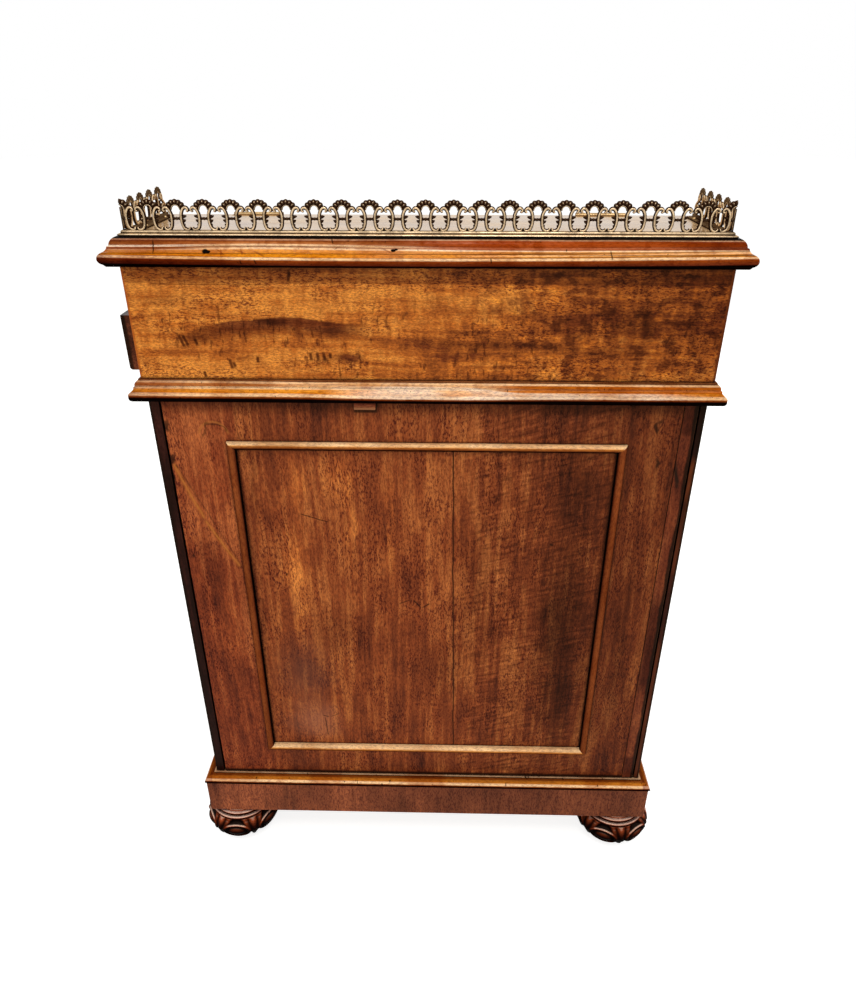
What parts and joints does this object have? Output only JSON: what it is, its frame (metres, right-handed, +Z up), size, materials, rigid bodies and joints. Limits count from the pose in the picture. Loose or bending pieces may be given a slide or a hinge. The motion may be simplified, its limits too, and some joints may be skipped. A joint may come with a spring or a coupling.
{
  "type": "davenport desk",
  "caption": "Small writing desk with a sliding sloped top, brass gallery, panelled back, side drawers facing the right, dummy drawers on the left and carved bun feet.",
  "frame": {"origin": "on the floor, under the middle of the desk", "axes": "+Z up; +Y towards the panelled back with the gallery; +X to the right of the user, where the real drawers open"},
  "size_m": [0.634, 0.598, 0.8529],
  "materials": {
    "case_mahogany": "french polished, vertical grain",
    "lap_mahogany": "french polished, golden, horizontal rippled grain",
    "moulding_mahogany": "polished to a gloss",
    "carved_mahogany": "polished carving with dark recesses",
    "turned_mahogany": "polished",
    "carcass_pine": "planed, unpolished",
    "interior_maple": "satin polish",
    "gallery_brass": "cast, antique patina with dark recesses",
    "hinge_brass": "worn polished",
    "green_leather": "skiver with a blind and gilt border"
  },
  "bodies": {
    "case": {"foot_back_right": "carved_mahogany", "foot_back_left": "carved_mahogany", "foot_front_right": "carved_mahogany", "foot_front_left": "carved_mahogany", "corner_blocks": "carcass_pine", "plinth_rail_back": "case_mahogany", "plinth_rail_front": "case_mahogany", "plinth_rail_left": "case_mahogany", "plinth_rail_right": "case_mahogany", "plinth_moulding": "moulding_mahogany", "base_board": "carcass_pine", "back_board": "case_mahogany", "front_board": "case_mahogany", "panel_beads": "moulding_mahogany", "left_side_board": "case_mahogany", "side_frames": "case_mahogany", "dummy_drawer_fronts": "case_mahogany", "dummy_knobs": "turned_mahogany", "drawer_divider_1": "carcass_pine", "drawer_divider_2": "carcass_pine", "drawer_divider_3": "carcass_pine", "case_top": "carcass_pine", "slide_stop_block": "case_mahogany"},
    "lap": {"lap_bottom": "carcass_pine", "lap_runners": "carcass_pine", "waist_moulding": "moulding_mahogany", "lap_back": "lap_mahogany", "lap_left_side": "lap_mahogany", "lap_right_side": "lap_mahogany", "lap_front_rail": "lap_mahogany", "lid_lock": "hinge_brass", "flat_top": "lap_mahogany", "cornice_moulding": "moulding_mahogany", "top_hinge_leaves": "hinge_brass", "gallery_back": "gallery_brass", "gallery_right": "gallery_brass", "gallery_left": "gallery_brass", "gallery_screws": "gallery_brass", "interior_fascia": "interior_maple", "interior_partitions": "interior_maple"},
    "lid": {"lid_board": "lap_mahogany", "writing_leather": "green_leather", "book_ledge": "moulding_mahogany", "lid_hinge_leaves": "hinge_brass"},
    "pen_drawer": {"pen_drawer_front": "case_mahogany", "pen_drawer_tray": "interior_maple"},
    "small_drawer_left": {"small_drawer_left": "interior_maple"},
    "small_drawer_right": {"small_drawer_right": "interior_maple"},
    "drawer_1": {"drawer_1_front": "case_mahogany", "drawer_1_box": "carcass_pine", "drawer_1_knobs": "turned_mahogany"},
    "drawer_2": {"drawer_2_front": "case_mahogany", "drawer_2_box": "carcass_pine", "drawer_2_knobs": "turned_mahogany"},
    "drawer_3": {"drawer_3_front": "case_mahogany", "drawer_3_box": "carcass_pine", "drawer_3_knobs": "turned_mahogany"},
    "drawer_4": {"drawer_4_front": "case_mahogany", "drawer_4_box": "carcass_pine", "drawer_4_knobs": "turned_mahogany"}
  },
  "joints": [
    {"name": "lap_slide", "type": "slide", "parent": "case", "child": "lap", "axis": [0, -1, 0], "range_m": [0, 0.2]},
    {"name": "lid_hinge", "type": "hinge", "parent": "lap", "child": "lid", "pos_m": [0, 0.125, 0.821], "axis": [-1, 0, 0], "range_deg": [0, 105]},
    {"name": "pen_drawer_slide", "type": "slide", "parent": "lap", "child": "pen_drawer", "axis": [1, 0, 0], "range_m": [-0.0138, 0.19]},
    {"name": "small_drawer_left_slide", "type": "slide", "parent": "lap", "child": "small_drawer_left", "axis": [0, -1, 0], "range_m": [0, 0.075]},
    {"name": "small_drawer_right_slide", "type": "slide", "parent": "lap", "child": "small_drawer_right", "axis": [0, -1, 0], "range_m": [0, 0.075]},
    {"name": "drawer_1_slide", "type": "slide", "parent": "case", "child": "drawer_1", "axis": [1, 0, 0], "range_m": [0, 0.4]},
    {"name": "drawer_2_slide", "type": "slide", "parent": "case", "child": "drawer_2", "axis": [1, 0, 0], "range_m": [0, 0.4]},
    {"name": "drawer_3_slide", "type": "slide", "parent": "case", "child": "drawer_3", "axis": [1, 0, 0], "range_m": [0, 0.4]},
    {"name": "drawer_4_slide", "type": "slide", "parent": "case", "child": "drawer_4", "axis": [1, 0, 0], "range_m": [0, 0.4]}
  ]
}
